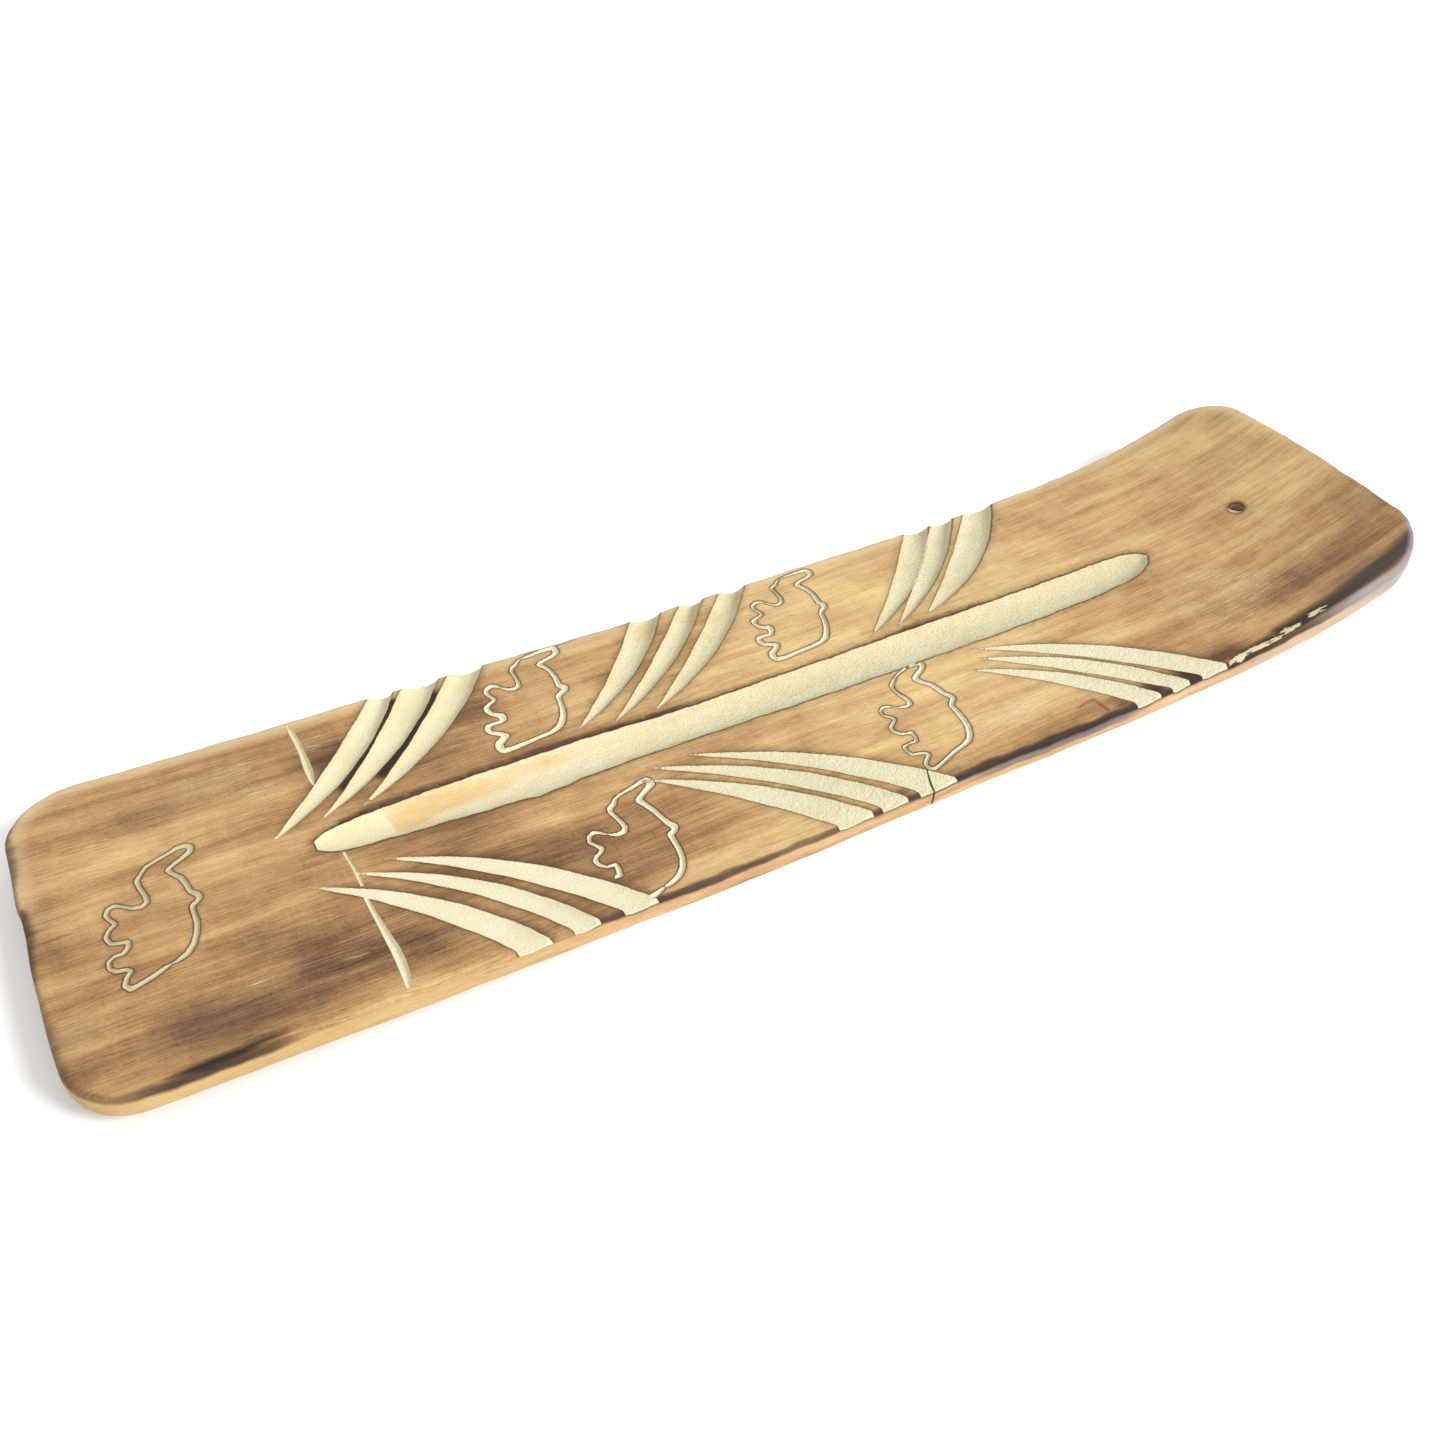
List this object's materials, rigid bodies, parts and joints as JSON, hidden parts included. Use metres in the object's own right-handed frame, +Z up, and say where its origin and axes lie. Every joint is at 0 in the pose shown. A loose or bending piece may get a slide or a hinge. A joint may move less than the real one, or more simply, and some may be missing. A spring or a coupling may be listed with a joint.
{
  "type": "incense burner",
  "caption": "Long thin carved wooden incense-stick holder with a hole in its upturned toe, an ash groove, gouged borders and elephant outlines.",
  "frame": {"origin": "middle of the footprint, on the surface that the board stands on", "axes": "+X along the board to the upturned toe with the stick hole, +Y across it, +Z up"},
  "size_m": [0.254, 0.0636, 0.0163],
  "materials": {
    "board_wood": "matte, flamed and whitewashed"
  },
  "bodies": {
    "root": {"board": "board_wood"}
  },
  "joints": []
}
